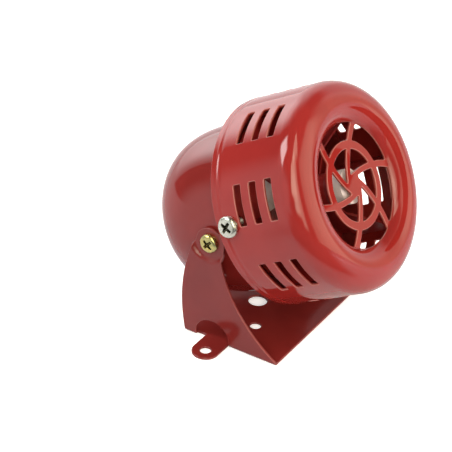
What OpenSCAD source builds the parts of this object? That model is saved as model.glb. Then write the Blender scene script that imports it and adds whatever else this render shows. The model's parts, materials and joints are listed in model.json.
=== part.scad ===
// Small motor siren on a swivel bracket: a motor spins a vaned impeller inside a slotted housing.
// Millimetres, +Z up. The origin is the middle of the bracket's underside. The horn faces -Y.
// The siren head is drawn in its own frame, with z along its axis and z = 0 at the grille's face,
// x to the right and y up as seen from the front, and on_siren() puts it on the pivot.

/* [Siren head] */
// Outside diameter of the front housing
housing_d = 90; // [89:0.5:92]
// Length of the front housing from the grille's face to the rear rim
housing_len = 40.4; // [40:0.1:42]
// Thickness of the pressed steel sheet
sheet_t = 1.2; // [1:0.1:1.3]
// Radius of the rounding around the front of the housing
lip_r = 10; // [9:0.5:10.5]
// How far the rounded lip stands ahead of the grille
lip_rise = 4.9; // [4:0.1:5.5]
// Upward tilt of the head at rest
tilt = 29.35; // [10:0.05:60]

/* [Sound slots] */
// Groups of slots around the housing
slot_groups = 8; // [4:1:9]
// Slots in each group
slot_rows = 3; // [1:1:3]
// Width of a slot along the axis
slot_w = 3.6; // [2.5:0.1:4.5]
// Distance from one slot to the next along the axis
slot_pitch = 8; // [6:0.5:8]
// Angle that a slot spans
slot_span = 22; // [12:1:26]
// Turn of the first group from the top
slot_turn = 26; // [0:1:44]

/* [Grille] */
// Radius of the pierced area
grille_r = 26.4; // [25:0.1:26.4]
// Inner radius of the grille's ring
ring_in = 15.4; // [13:0.1:16]
// Width of the grille's ring
ring_w = 3.6; // [3:0.1:5]
// Radius of the solid middle
boss_r = 4.8; // [4:0.1:7]
// Number of curved arms
arms = 6; // [3:1:6]
// Width of a curved arm
arm_w = 2.9; // [2:0.1:4]

/* [Motor housing] */
// Outside diameter of the rear housing
rear_d = 73.9; // [72:0.1:74]
// Length of its straight part, from the flange
rear_straight = 11.2; // [10:0.1:14]
// Depth of the domed end
dome_depth = 38.2; // [34:0.1:40]
// Squareness of the dome: 2 is an ellipse, and more is squarer
dome_power = 3; // [2:0.1:4]

/* [Bracket] */
// Width of the base between the arms' outer faces
base_w = 74.4; // [74:0.1:78]
// Depth of the base from front to rear
base_depth = 46.2; // [44:0.1:50]
// Outward lean of each arm
arm_lean = 3.8; // [2:0.1:4]
// Height of the tilt axis above the underside
pivot_z = 50.4; // [50:0.1:54]
// Distance of the tilt axis behind the middle of the base
pivot_y = 11.1; // [9:0.1:12]
// Radius of the round top of each arm
arm_top_r = 6.9; // [6:0.1:7.5]
// Diameter of the centre hole in the base
centre_hole_d = 8.4; // [6:0.1:10]
// Diameter of the two screw holes in the base
base_hole_d = 4.9; // [4:0.1:6]
// Distance between those two holes
base_hole_gap = 34.6; // [24:0.1:44]
// Diameter of the hole in each side lug
lug_hole_d = 4.9; // [4:0.1:5.5]
// Distance between the two lug holes
lug_hole_gap = 90.8; // [89:0.1:94]

/* [Impeller] */
// Number of vanes
vanes = 8; // [4:1:10]
// Thickness of the disc and vanes
vane_t = 1; // [0.8:0.1:1.5]
// Radius of the impeller's sleeve and of the hub's head in front of it
hub_r = 7.5; // [6:0.1:8]
// Turn of the first vane from the right-hand side
vane_turn = -4; // [-20:1:20]

/* [Fasteners] */
// Thread diameter of the pivot and housing screws
big_screw_d = 4; // [3.8:0.1:4]
// Radial clearance of a pivot screw in the bracket
pivot_play = 0.08; // [0.02:0.01:0.1]
// Screws around the front housing
housing_screw_count = 3; // [2:1:4]
// Turn of the first housing screw from the top
housing_screw_turn = 80.6; // [70:0.1:90]

/* [Hidden] */
$fn = 96;
eps = 0.05;

// Housing and the plate inside it
housing_r = housing_d / 2;
housing_in = housing_r - sheet_t;
lip_c_r = housing_r - lip_r;
lip_c_z = lip_rise - lip_r;
fillet_r = 1;
fillet_c_r = lip_c_r - sqrt(pow(lip_r + fillet_r, 2) - pow(fillet_r - lip_c_z, 2));
lip_end = atan2(fillet_r - lip_c_z, fillet_c_r - lip_c_r);
slot_first_z = -28.4;
ring_out = ring_in + ring_w;
grille_arm_r = 46;
grille_arm_c = [5, -42.35];
grille_arm_x = 3;

plate_t = 1.5;
plate_r = housing_in - 0.1;
plate_back = -housing_len + sheet_t;
plate_front = plate_back + plate_t;
plate_rim_t = 1.3;
plate_rim_in = plate_r - plate_rim_t;
plate_rim_z = -29.9;
housing_screw_z = -34;

// Motor housing, whose flange lies behind the plate
rear_r = rear_d / 2;
rear_in = rear_r - sheet_t;
flange_r = 43;
dome_z = -housing_len - rear_straight;
dome_end_z = dome_z - dome_depth;
flange_screw_r = 40.1;
flange_screws = 4;

// Tilt axis, seen from the grille
pivot_back = 52.2;

// Clearances: a fixed fit, a screw in a close hole and a screw in a free hole
snug = 0.05;
close_gap = 0.2;
free_gap = 0.4;

// Screws as [thread, length, head diameter, head height]
housing_screw = [big_screw_d, 6, 9.3, 2.7];
pivot_screw = [big_screw_d, 7, 8.5, 2.5];
flange_screw = [3, 3.5, 5.2, 1.8];
motor_screw = [3, 3.6, 5.2, 1.7];
nut_flats = 7;
nut_h = 3.2;
clinch_r = 3.4;
clinch_h = 3;

// Bracket
bend_r = 2;
base_r = base_w / 2;
bend_x = base_r + bend_r * tan(arm_lean) - bend_r;
arm_foot = [base_depth / 2, 0];
arm_rear_mid = [24.4, 16];
arm_front_mid = [-4.9, 20];
arm_front_top = [4.8, 44];
pad_in = rear_r + 0.5;
pad_out = pad_in + sheet_t;
pad_flat_r = 7;
pad_step_r = 9.4;
centre_hole_y = 8.2;
base_hole_y = -1.2;
lug_y = 6.9;
lug_r = 6;
lance_w = 16.8;
lance_h = 10.8;
lance_y = 8.9;

// Motor
can_r = 18.5;
can_t = 1.2;
can_in = can_r - can_t;
can_front = plate_back;
can_wall = 1.5;
can_back = -74;
shaft_r = 2;
shaft_play = 0.03;
bush_r = 4;
front_bush_z = [-43, -38.4];
rear_bush_z = [-78.6, -74.6];
magnet_in = 13.4;
magnet_z = [-67, -45];
magnet_gap = 8;
core_r = 12.8;
core_z = [-64, -48];
coil_z = [-66.5, -45.5];
poles = 5;
tooth_w = 3;
core_hub_r = 5;
shoe_in = 11;
shoe_span = 56;
comm_r = 4.2;
comm_z = [-73.4, -67.5];
cap_z = -76;
cap_boss_r = 6.5;
cap_boss_z = -79.4;
brush_z = -70.6;
brush_w = 3.2;
brush_len = 5.2;
motor_screw_r = 12.5;
cap_rim_t = 1.5;
cap_rim_h = 3;
terminal_x = 11;
terminal_t = 0.8;
terminal_w = 3.2;
terminal_z = -80;
shaft_z = [-77.6, -3];
thrust_r = 3.4;
thrust_t = 0.5;
thrust_gap = 0.1;

// Impeller
sleeve_front = -11;
hub_back = -35.9;
hub_front = -2.4;
hub_in_sleeve_r = 5;
set_screw_z = -6.6;
set_screw_d = 3;
flange_t = 1;
flange_ring_r = 19.5;
disc_z = -35;
disc_r = 37.6;
vane_out = 41.3;
vane_low = -20;
vane_high = sleeve_front;
vane_step_z = -29.4;
vane_top_len = 7;
vane_slope_r = hub_r + 14;
rivets = 4;
rivet_ring_r = 14.5;
rivet_r = 1.2;
rivet_head_r = 1.9;
rivet_head_h = 0.7;
rivet_turn = vane_turn + 180 / vanes;

// Leads, which leave the dome through a grommet
grommet_at = [9, -12];
grommet_hole_r = 4;
grommet_lip = 1.6;
grommet_lip_h = 1.5;
grommet_depth = 3.2;
wire_r = 1.1;
wire_gap = 1.6;
wire_play = 0.3;

// ---- Shared shapes ----

// Points along an arc about c, from angle a0 to a1
function arc(c, r, a0, a1, n = 12) =
    [for (i = [0:n]) let (a = a0 + (a1 - a0) * i / n) c + r * [cos(a), sin(a)]];

// Centre of the circle through three points
function circle_centre(p, q, s) =
    let (
        d = 2 * (p.x * (q.y - s.y) + q.x * (s.y - p.y) + s.x * (p.y - q.y)),
        pp = p * p,
        qq = q * q,
        ss = s * s
    )
    [
        (pp * (q.y - s.y) + qq * (s.y - p.y) + ss * (p.y - q.y)) / d,
        (pp * (s.x - q.x) + qq * (p.x - s.x) + ss * (q.x - p.x)) / d
    ];

// Points along the arc from p through q to s
function arc_through(p, q, s, n = 10) =
    let (
        c = circle_centre(p, q, s),
        a0 = atan2(p.y - c.y, p.x - c.x),
        turn = atan2(s.y - c.y, s.x - c.x) - a0,
        a1 = a0 + (turn > 180 ? turn - 360 : turn < -180 ? turn + 360 : turn)
    )
    arc(c, norm(p - c), a0, a1, n);

// Puts children drawn in the head's frame onto the pivot
module on_siren() {
    translate([0, pivot_y, pivot_z])
        rotate([90 - tilt, 0, 0])
            translate([0, 0, pivot_back])
                children();
}

// Turned ring between two radii and two heights
module ring(r_out, r_in, z) {
    translate([0, 0, z[0]])
        difference() {
            cylinder(r = r_out, h = z[1] - z[0]);
            translate([0, 0, -eps])
                cylinder(r = r_in, h = z[1] - z[0] + 2 * eps);
        }
}

// Pan-head screw with a cross recess, head up, bearing face at z = 0
module pan_screw(size) {
    head_d = size[2];
    head_h = size[3];
    recess_w = head_d * 0.13;
    recess_l = head_d * 0.56;
    difference() {
        union() {
            rotate_extrude()
                polygon(concat(
                    [[0, 0], [head_d / 2, 0]],
                    arc([head_d / 2 - head_h * 0.7, head_h * 0.3], head_h * 0.7, 0, 90, 6),
                    [[0, head_h]]
                ));
            translate([0, 0, -size[1]])
                cylinder(d = size[0], h = size[1] + eps);
        }
        for (a = [0, 90])
            rotate(a)
                translate([-recess_l / 2, -recess_w / 2, head_h * 0.4])
                    cube([recess_l, recess_w, head_h]);
    }
}

// Hexagon nut standing on z = 0
module hex_nut(bore_d, flats, h) {
    difference() {
        cylinder(r = flats / 2 / cos(30), h = h, $fn = 6);
        translate([0, 0, -eps])
            cylinder(d = bore_d, h = h + 2 * eps);
    }
}

// Places children around the axis, with z pointing outwards at height z and radius 0
module radial(count, turn, z) {
    for (i = [0:count - 1])
        rotate(turn + i * 360 / count)
            translate([0, 0, z])
                rotate([-90, 0, 0])
                    children();
}

// ---- Front housing ----

module grille_arm() {
    intersection() {
        translate(grille_arm_c)
            difference() {
                circle(r = grille_arm_r + arm_w / 2, $fn = 240);
                circle(r = grille_arm_r - arm_w / 2, $fn = 240);
            }
        translate([grille_arm_x, -grille_r])
            square([grille_r, 2 * grille_r]);
    }
}

module grille_windows() {
    difference() {
        circle(r = grille_r);
        difference() {
            circle(r = ring_out);
            circle(r = ring_in);
        }
        circle(r = boss_r);
        for (k = [0:arms - 1])
            rotate(k * 360 / arms)
                grille_arm();
    }
}

module slot() {
    half = slot_span / 2;
    far = housing_r * 1.1;
    linear_extrude(slot_w)
        polygon([
            0.8 * housing_r * [-sin(half), cos(half)],
            far * [-sin(half), cos(half)],
            far * [sin(half), cos(half)],
            0.8 * housing_r * [sin(half), cos(half)]
        ]);
}

module front_housing() {
    outer = concat(
        arc([lip_c_r, lip_c_z], lip_r, 0, lip_end, 16),
        arc([fillet_c_r, fillet_r], fillet_r, lip_end + 180, 270, 4)
    );
    inner = concat(
        arc([fillet_c_r, fillet_r], fillet_r + sheet_t, 270, lip_end + 180, 4),
        arc([lip_c_r, lip_c_z], lip_r - sheet_t, lip_end, 0, 16)
    );
    color("firebrick")
        on_siren()
            difference() {
                rotate_extrude($fn = 144)
                    polygon(concat(
                        [[housing_r, -housing_len]],
                        outer,
                        [[0, 0], [0, -sheet_t]],
                        inner,
                        [[housing_in, -housing_len]]
                    ));
                translate([0, 0, -3 * sheet_t])
                    linear_extrude(6 * sheet_t)
                        grille_windows();
                for (g = [0:slot_groups - 1], k = [0:slot_rows - 1])
                    rotate(slot_turn + g * 360 / slot_groups)
                        translate([0, 0, slot_first_z + k * slot_pitch])
                            slot();
                radial(housing_screw_count, housing_screw_turn, housing_screw_z)
                    translate([0, 0, housing_in - 2])
                        cylinder(d = housing_screw[0] + free_gap, h = 2 * lip_r);
            }
}

module motor_plate() {
    color("darkred")
        on_siren()
            difference() {
                rotate_extrude($fn = 144)
                    polygon([
                        [6, plate_back],
                        [plate_r, plate_back],
                        [plate_r, plate_rim_z],
                        [plate_rim_in, plate_rim_z],
                        [plate_rim_in, plate_front],
                        [6, plate_front]
                    ]);
                radial(housing_screw_count, housing_screw_turn, housing_screw_z)
                    translate([0, 0, plate_rim_in - 2])
                        cylinder(d = housing_screw[0] + close_gap, h = lip_r);
                for (a = [0, 180])
                    rotate(a)
                        translate([motor_screw_r, 0, plate_back - eps])
                            cylinder(d = motor_screw[0] + free_gap, h = plate_t + 2 * eps);
                for (i = [0:flange_screws - 1])
                    rotate(45 + i * 360 / flange_screws)
                        translate([flange_screw_r, 0, plate_back - eps])
                            cylinder(d = flange_screw[0], h = plate_t + 2 * eps);
            }
}

module clinch_nuts() {
    color("silver")
        on_siren()
            radial(housing_screw_count, housing_screw_turn, housing_screw_z)
                translate([0, 0, plate_rim_in - close_gap - clinch_h])
                    ring(clinch_r, housing_screw[0] / 2, [0, clinch_h]);
}

module housing_screws() {
    color("gainsboro")
        on_siren()
            radial(housing_screw_count, housing_screw_turn, housing_screw_z)
                translate([0, 0, housing_r])
                    rotate(40)
                        pan_screw(housing_screw);
}

// ---- Motor housing ----

// Profile of a dome of radius r and depth d behind dome_z, from its rim to its pole
function dome(r, d, n = 28) =
    [for (i = [0:n]) let (a = 90 * i / n)
        [r * pow(cos(a), 2 / dome_power), dome_z - d * pow(sin(a), 2 / dome_power)]];

module motor_housing() {
    inner = dome(rear_in, dome_depth - sheet_t);
    inner_up = [for (i = [len(inner) - 1:-1:0]) inner[i]];
    color("firebrick")
        on_siren()
            difference() {
                rotate_extrude($fn = 144)
                    polygon(concat(
                        [[rear_in, plate_back], [flange_r, plate_back]],
                        [[flange_r, -housing_len], [rear_r, -housing_len]],
                        dome(rear_r, dome_depth),
                        inner_up
                    ));
                translate([0, 0, -pivot_back])
                    rotate([0, 90, 0])
                        cylinder(d = pivot_screw[0] + close_gap, h = 2 * flange_r, center = true);
                for (i = [0:flange_screws - 1])
                    rotate(45 + i * 360 / flange_screws)
                        translate([flange_screw_r, 0, -housing_len - eps])
                            cylinder(d = flange_screw[0] + free_gap, h = sheet_t + 2 * eps);
                translate([grommet_at.x, grommet_at.y, dome_end_z - eps])
                    cylinder(r = grommet_hole_r, h = 5);
            }
}

module motor_housing_screws() {
    color("silver")
        on_siren()
            for (i = [0:flange_screws - 1])
                rotate(45 + i * 360 / flange_screws)
                    translate([flange_screw_r, 0, -housing_len])
                        rotate([180, 0, 0])
                            pan_screw(flange_screw);
}

module pivot_screws() {
    color("khaki")
        on_siren()
            for (side = [-90, 90])
                translate([0, 0, -pivot_back])
                    rotate([0, side, 0])
                        translate([0, 0, pad_out])
                            rotate(20)
                                pan_screw(pivot_screw);
}

module pivot_nuts() {
    color("silver")
        on_siren()
            for (side = [-90, 90])
                translate([0, 0, -pivot_back])
                    rotate([0, side, 0])
                        translate([0, 0, rear_in - nut_h - 0.35])
                            hex_nut(pivot_screw[0], nut_flats, nut_h);
}

module cable_grommet() {
    color("black")
        on_siren()
            translate([grommet_at.x, grommet_at.y, 0])
                difference() {
                    union() {
                        translate([0, 0, dome_end_z - grommet_lip_h - close_gap / 2])
                            cylinder(r = grommet_hole_r + grommet_lip, h = grommet_lip_h);
                        translate([0, 0, dome_end_z - grommet_lip_h / 2])
                            cylinder(r = grommet_hole_r - snug, h = grommet_lip_h / 2 + grommet_depth);
                    }
                    for (side = [-1, 1])
                        translate([side * wire_gap, 0, dome_end_z - 3])
                            cylinder(r = wire_r + wire_play, h = 2 * grommet_depth + grommet_lip_h);
                }
}

// ---- Leads ----

function unit(v) = v / norm(v);

// Point of a smooth curve through the points q, at t from 0 to len(q) - 1
function spline(q, t) =
    let (
        i = min(floor(t), len(q) - 2),
        f = t - i,
        a = q[max(i - 1, 0)],
        b = q[i],
        c = q[i + 1],
        d = q[min(i + 2, len(q) - 1)]
    )
    b + f * (c - a) / 2 + f * f * (a - 2.5 * b + 2 * c - d / 2) + f * f * f * (1.5 * (b - c) + (d - a) / 2);

// Round tube of radius r along a smooth curve through the points q
module tube(q, r, steps = 5, sides = 12) {
    n = (len(q) - 1) * steps;
    path = [for (i = [0:n]) spline(q, i / steps)];
    rings = [for (i = [0:n])
        let (
            t = unit(path[min(i + 1, n)] - path[max(i - 1, 0)]),
            u = unit(cross(t, [0.2, 1, 0.1])),
            v = cross(t, u)
        )
        for (k = [0:sides - 1]) path[i] + r * (u * cos(k * 360 / sides) + v * sin(k * 360 / sides))];
    walls = [for (i = [0:n - 1], k = [0:sides - 1])
        let (next = (k + 1) % sides)
        [i * sides + k, (i + 1) * sides + k, (i + 1) * sides + next, i * sides + next]];
    ends = [[for (k = [0:sides - 1]) k], [for (k = [sides - 1:-1:0]) n * sides + k]];
    polyhedron(points = rings, faces = concat(walls, ends));
}

module lead_wires() {
    color("dimgray")
        on_siren()
            for (side = [-1, 1]) {
                x = grommet_at.x + side * wire_gap;
                y = grommet_at.y;
                z = dome_end_z;
                tube([
                    [side * terminal_x, -terminal_w / 2, terminal_z - 0.4],
                    [side * terminal_x * 0.9, -5, terminal_z - 2.5],
                    [x, y + 0.6, z + 7],
                    [x, y, z + 3],
                    [x, y, z - 2.4],
                    [x + 2.2, y + side * 0.9, z - 5],
                    [x + 9, y + side * 1.5 - 1.5, z - 5.4],
                    [x + 16, y + side * 1.8 - 4, z - 4.4],
                    [x + 21, y + side * 2.6 - 7, z - 2.6]
                ], wire_r);
            }
}

// ---- Motor ----

module motor_can() {
    color("silver")
        on_siren()
            difference() {
                translate([0, 0, can_back])
                    cylinder(r = can_r, h = can_front - can_back);
                translate([0, 0, can_back - eps])
                    cylinder(r = can_in, h = can_front - can_wall - can_back + eps);
                translate([0, 0, can_front - 2 * can_wall])
                    cylinder(r = bush_r, h = 3 * can_wall);
                for (a = [0, 180])
                    rotate(a)
                        translate([motor_screw_r, 0, can_front - 2 * can_wall])
                            cylinder(d = motor_screw[0], h = 3 * can_wall);
            }
}

module field_magnets() {
    color("dimgray")
        on_siren()
            difference() {
                ring(can_in - snug, magnet_in, magnet_z);
                for (a = [45, 225])
                    rotate(a)
                        translate([0, -magnet_gap / 2, magnet_z[0] - eps])
                            cube([can_r, magnet_gap, magnet_z[1] - magnet_z[0] + 2 * eps]);
            }
}

module motor_end_cap() {
    color("ivory")
        on_siren()
            difference() {
                union() {
                    translate([0, 0, cap_z])
                        cylinder(r = can_r, h = can_back - cap_z);
                    ring(can_in - snug, can_in - cap_rim_t, [can_back - eps, can_back + cap_rim_h]);
                    translate([0, 0, cap_boss_z])
                        cylinder(r = cap_boss_r, h = can_back - cap_boss_z);
                }
                translate([0, 0, rear_bush_z[0]])
                    cylinder(r = bush_r, h = 2 * (rear_bush_z[1] - rear_bush_z[0]));
                for (side = [-1, 1])
                    translate([side * terminal_x - terminal_t / 2, -terminal_w / 2, cap_z - eps])
                        cube([terminal_t, terminal_w, can_back - cap_z + 2 * eps]);
            }
}

module front_bush() {
    color("peru")
        on_siren()
            ring(bush_r, shaft_r + shaft_play, front_bush_z);
}

module rear_bush() {
    color("peru")
        on_siren()
            ring(bush_r, shaft_r + shaft_play, rear_bush_z);
}

module brushes() {
    color("dimgray")
        on_siren()
            for (side = [0, 180])
                rotate(side)
                    translate([comm_r + snug, -brush_w / 2, brush_z - brush_w / 2])
                        cube([brush_len, brush_w, brush_w]);
}

module brush_holders() {
    wall = 0.6;
    slack = 0.1;
    outer = brush_w + 2 * (wall + slack);
    color("goldenrod")
        on_siren()
            for (side = [0, 180])
                rotate(side)
                    difference() {
                        translate([comm_r + 1.4, -outer / 2, can_back])
                            cube([8, outer, brush_z + outer / 2 - can_back]);
                        translate([comm_r, -brush_w / 2 - slack, brush_z - brush_w / 2 - slack])
                            cube([8.8, brush_w + 2 * slack, brush_w + 2 * slack]);
                    }
}

// Flat wave spring behind each brush
module brush_springs() {
    start = comm_r + brush_len + 0.1;
    length = 3.4;
    waves = 3;
    wire = 0.35;
    sway = 1;
    top = [for (i = [0:8 * waves])
        [start + length * i / (8 * waves), sway * sin(i * 45) + wire / 2]];
    bottom = [for (i = [8 * waves:-1:0])
        [start + length * i / (8 * waves), sway * sin(i * 45) - wire / 2]];
    color("silver")
        on_siren()
            for (side = [0, 180])
                rotate(side)
                    translate([0, 0, brush_z - 1])
                        linear_extrude(2)
                            polygon(concat(top, bottom));
}

module motor_screws() {
    color("silver")
        on_siren()
            for (a = [0, 180])
                rotate(a)
                    translate([motor_screw_r, 0, plate_front])
                        pan_screw(motor_screw);
}

module motor_terminals() {
    color("goldenrod")
        on_siren()
            for (side = [-1, 1])
                translate([side * terminal_x - terminal_t / 2, -terminal_w / 2, terminal_z])
                    cube([terminal_t, terminal_w, can_back - terminal_z]);
}

// ---- Rotor ----

module motor_shaft() {
    color("silver")
        on_siren()
            translate([0, 0, shaft_z[0]])
                cylinder(r = shaft_r, h = shaft_z[1] - shaft_z[0]);
}

// Outline of the laminations, grown by a gap on its inner walls
module core_outline(gap) {
    difference() {
        union() {
            circle(r = core_hub_r + gap);
            for (k = [0:poles - 1])
                rotate(k * 360 / poles)
                    translate([0, -tooth_w / 2 - gap])
                        square([shoe_in + 0.5, tooth_w + 2 * gap]);
        }
        circle(r = shaft_r);
    }
}

module armature_core() {
    half = shoe_span / 2;
    color("gray")
        on_siren()
            translate([0, 0, core_z[0]])
                linear_extrude(core_z[1] - core_z[0]) {
                    core_outline(0);
                    for (k = [0:poles - 1])
                        rotate(k * 360 / poles)
                            intersection() {
                                difference() {
                                    circle(r = core_r);
                                    circle(r = shoe_in);
                                }
                                polygon([[0, 0], [20, -20 * tan(half)], [20, 20 * tan(half)]]);
                            }
                }
}

module armature_windings() {
    color("chocolate")
        on_siren()
            difference() {
                ring(shoe_in - eps, core_hub_r + eps, coil_z);
                translate([0, 0, core_z[0] - eps])
                    linear_extrude(core_z[1] - core_z[0] + 2 * eps)
                        core_outline(eps);
                for (k = [0:poles - 1])
                    rotate((k + 0.5) * 360 / poles)
                        translate([core_hub_r, -0.3, coil_z[0] - eps])
                            cube([shoe_in, 0.6, coil_z[1] - coil_z[0] + 2 * eps]);
            }
}

module commutator() {
    color("chocolate")
        on_siren()
            difference() {
                ring(comm_r, shaft_r, comm_z);
                for (k = [0:poles - 1])
                    rotate((k + 0.5) * 360 / poles)
                        translate([comm_r - 0.7, -0.25, comm_z[0] - eps])
                            cube([2, 0.5, comm_z[1] - comm_z[0] + 2 * eps]);
            }
}

module thrust_washers() {
    near = front_bush_z[0] - thrust_gap;
    far = rear_bush_z[1] + thrust_gap;
    color("silver")
        on_siren() {
            ring(thrust_r, shaft_r, [near - thrust_t, near]);
            ring(thrust_r, shaft_r, [far, far + thrust_t]);
        }
}

// Places children at each rivet between the vanes
module on_rivets() {
    for (k = [0:rivets - 1])
        rotate(rivet_turn + k * 360 / rivets)
            translate([rivet_ring_r, 0, 0])
                children();
}

// One vane, drawn as radius and height and stood on the disc
module vane() {
    rotate([90, 0, 0])
        translate([0, 0, -vane_t / 2])
            linear_extrude(vane_t)
                polygon([
                    [hub_r - 2 * snug, disc_z + vane_t / 2],
                    [disc_r - snug, disc_z + vane_t / 2],
                    [disc_r - snug, vane_step_z],
                    [vane_out, vane_step_z],
                    [vane_out, vane_high],
                    [vane_out - vane_top_len, vane_high],
                    [vane_slope_r, vane_low],
                    [hub_r - 2 * snug, vane_low]
                ]);
}

module impeller() {
    color("brown")
        on_siren()
            difference() {
                union() {
                    translate([0, 0, disc_z])
                        cylinder(r = disc_r, h = vane_t);
                    translate([0, 0, disc_z])
                        cylinder(r = hub_r, h = sleeve_front - disc_z);
                    for (k = [0:vanes - 1])
                        rotate(vane_turn + k * 360 / vanes)
                            vane();
                }
                translate([0, 0, disc_z - eps])
                    cylinder(r = hub_in_sleeve_r, h = sleeve_front - disc_z + 2 * eps);
                translate([0, 0, disc_z + vane_t])
                    ring(flange_ring_r + snug, hub_r, [0, flange_t]);
                on_rivets()
                    translate([0, 0, disc_z - eps])
                        cylinder(r = rivet_r, h = 2 * vane_t);
            }
}

// Ring that stiffens the middle of the disc
module impeller_flange() {
    color("lightgray")
        on_siren()
            difference() {
                translate([0, 0, disc_z + vane_t])
                    ring(flange_ring_r, hub_r + snug, [0, flange_t]);
                on_rivets()
                    translate([0, 0, disc_z + vane_t - eps])
                        cylinder(r = rivet_r, h = flange_t + 2 * eps);
            }
}

// Bush inside the impeller's sleeve, with a head in front of it that takes the set screw
module impeller_hub() {
    color("lightgray")
        on_siren()
            difference() {
                union() {
                    translate([0, 0, hub_back])
                        cylinder(r = hub_in_sleeve_r, h = hub_front - hub_back);
                    translate([0, 0, sleeve_front])
                        cylinder(r = hub_r, h = hub_front - sleeve_front);
                }
                translate([0, 0, hub_back - eps])
                    cylinder(r = shaft_r, h = hub_front - hub_back + 2 * eps);
                translate([0, 0, set_screw_z])
                    rotate([0, 90, 0])
                        cylinder(d = set_screw_d, h = 2 * hub_r);
            }
}

module impeller_rivets() {
    color("silver")
        on_siren()
            on_rivets() {
                translate([0, 0, disc_z])
                    cylinder(r = rivet_r, h = vane_t + flange_t);
                translate([0, 0, disc_z - rivet_head_h])
                    cylinder(r = rivet_head_r, h = rivet_head_h);
                translate([0, 0, disc_z + vane_t + flange_t])
                    cylinder(r = rivet_head_r, h = rivet_head_h);
            }
}

// Headless screw with a slot, which holds the hub on the shaft
module hub_set_screw() {
    length = hub_r - shaft_r - 0.6;
    slot_w = 0.5;
    slot_h = 0.8;
    color("dimgray")
        on_siren()
            translate([shaft_r, 0, set_screw_z])
                rotate([0, 90, 0])
                    difference() {
                        cylinder(d = set_screw_d, h = length);
                        translate([-set_screw_d, -slot_w / 2, length - slot_h])
                            cube([2 * set_screw_d, slot_w, 2 * slot_h]);
                    }
}

// ---- Bracket ----

// Side view of one arm, as distance to the rear and height
module arm_outline() {
    top = [pivot_y, pivot_z];
    polygon(concat(
        arc_through(arm_foot, arm_rear_mid, top + [arm_top_r, 0]),
        arc(top, arm_top_r, 0, 180, 16),
        arc_through(arm_front_top, arm_front_mid, [-arm_foot.x, 0])
    ));
}

// Opening left in the arm by the lug that is bent out of it
module lance() {
    r = lance_w / 2;
    translate([lance_y - r, -1])
        square([lance_w, lance_h - r + 1]);
    translate([lance_y, lance_h - r])
        circle(r = r);
}

// Right-hand arm and its share of the bend
module bracket_arm() {
    difference() {
        union() {
            difference() {
                translate([base_r, 0, 0])
                    rotate([0, arm_lean, 0])
                        rotate([90, 0, 90])
                            translate([0, 0, -sheet_t])
                                linear_extrude(sheet_t)
                                    difference() {
                                        arm_outline();
                                        lance();
                                    }
                translate([0, pivot_y, pivot_z])
                    rotate([0, 90, 0])
                        cylinder(r = pad_step_r, h = 2 * base_r);
                translate([0, -base_depth, -base_w])
                    cube([2 * base_w, 2 * base_depth, base_w + bend_r]);
            }
            pressed_pad();
            bend();
        }
        translate([0, pivot_y, pivot_z])
            rotate([0, 90, 0])
                cylinder(r = big_screw_d / 2 + pivot_play, h = 2 * base_r);
    }
}

// Inner faces of the arm at the pivot's height
function arm_in_x(z) = base_r + z * tan(arm_lean) - sheet_t / cos(arm_lean);

// Round pad pressed inwards at the pivot, with a sloped step around it
module pressed_pad() {
    step_x = arm_in_x(pivot_z);
    intersection() {
        translate([0, pivot_y, pivot_z])
            rotate([0, 90, 0])
                rotate_extrude()
                    polygon([
                        [0, pad_in],
                        [pad_flat_r - 0.6, pad_in],
                        [pad_step_r + 1.5, step_x + 0.9],
                        [pad_step_r + 1.5, step_x + 0.9 + sheet_t],
                        [pad_flat_r, pad_out],
                        [0, pad_out]
                    ]);
        translate([base_r, 0, 0])
            rotate([0, arm_lean, 0])
                rotate([90, 0, 90])
                    translate([0, 0, -4 * sheet_t])
                        linear_extrude(5 * sheet_t)
                            arm_outline();
    }
}

// Quarter bend between the base and the arm, open where the lug leaves the arm
module bend() {
    c = [bend_x, bend_r];
    difference() {
        translate([c.x, base_depth / 2, c.y])
            rotate([90, 0, 0])
                cylinder(r = bend_r, h = base_depth);
        translate([c.x, base_depth / 2 + 1, c.y])
            rotate([90, 0, 0])
                cylinder(r = bend_r - sheet_t, h = base_depth + 2);
        translate([c.x - 2 * bend_r, -base_depth, 0])
            cube([2 * bend_r, 2 * base_depth, 3 * bend_r]);
        translate([c.x - 2 * bend_r, -base_depth, c.y])
            cube([4 * bend_r, 2 * base_depth, 2 * bend_r]);
        translate([c.x - bend_r, lance_y - lance_w / 2, -1])
            cube([4 * bend_r, lance_w, 3 * bend_r]);
    }
}

module bracket() {
    color("indianred") {
        difference() {
            union() {
                translate([-bend_x, -base_depth / 2, 0])
                    cube([2 * bend_x, base_depth, sheet_t]);
                for (side = [-1, 1])
                    translate([side * lug_hole_gap / 2, lug_y, 0]) {
                        cylinder(r = lug_r, h = sheet_t);
                        translate([side < 0 ? 0 : -base_r / 3, -lug_r, 0])
                            cube([base_r / 3, 2 * lug_r, sheet_t]);
                    }
            }
            translate([0, centre_hole_y, -1])
                cylinder(d = centre_hole_d, h = 4);
            for (side = [-1, 1]) {
                translate([side * base_hole_gap / 2, base_hole_y, -1])
                    cylinder(d = base_hole_d, h = 4);
                translate([side * lug_hole_gap / 2, lug_y, -1])
                    cylinder(d = lug_hole_d, h = 4);
            }
        }
        bracket_arm();
        mirror([1, 0, 0])
            bracket_arm();
    }
}

bracket();
front_housing();
motor_plate();
clinch_nuts();
housing_screws();
motor_housing();
motor_housing_screws();
pivot_screws();
pivot_nuts();
motor_can();
field_magnets();
motor_end_cap();
front_bush();
rear_bush();
brushes();
brush_holders();
brush_springs();
motor_screws();
motor_terminals();
cable_grommet();
lead_wires();
motor_shaft();
armature_core();
armature_windings();
commutator();
thrust_washers();
impeller();
impeller_flange();
impeller_hub();
impeller_rivets();
hub_set_screw();
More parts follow.
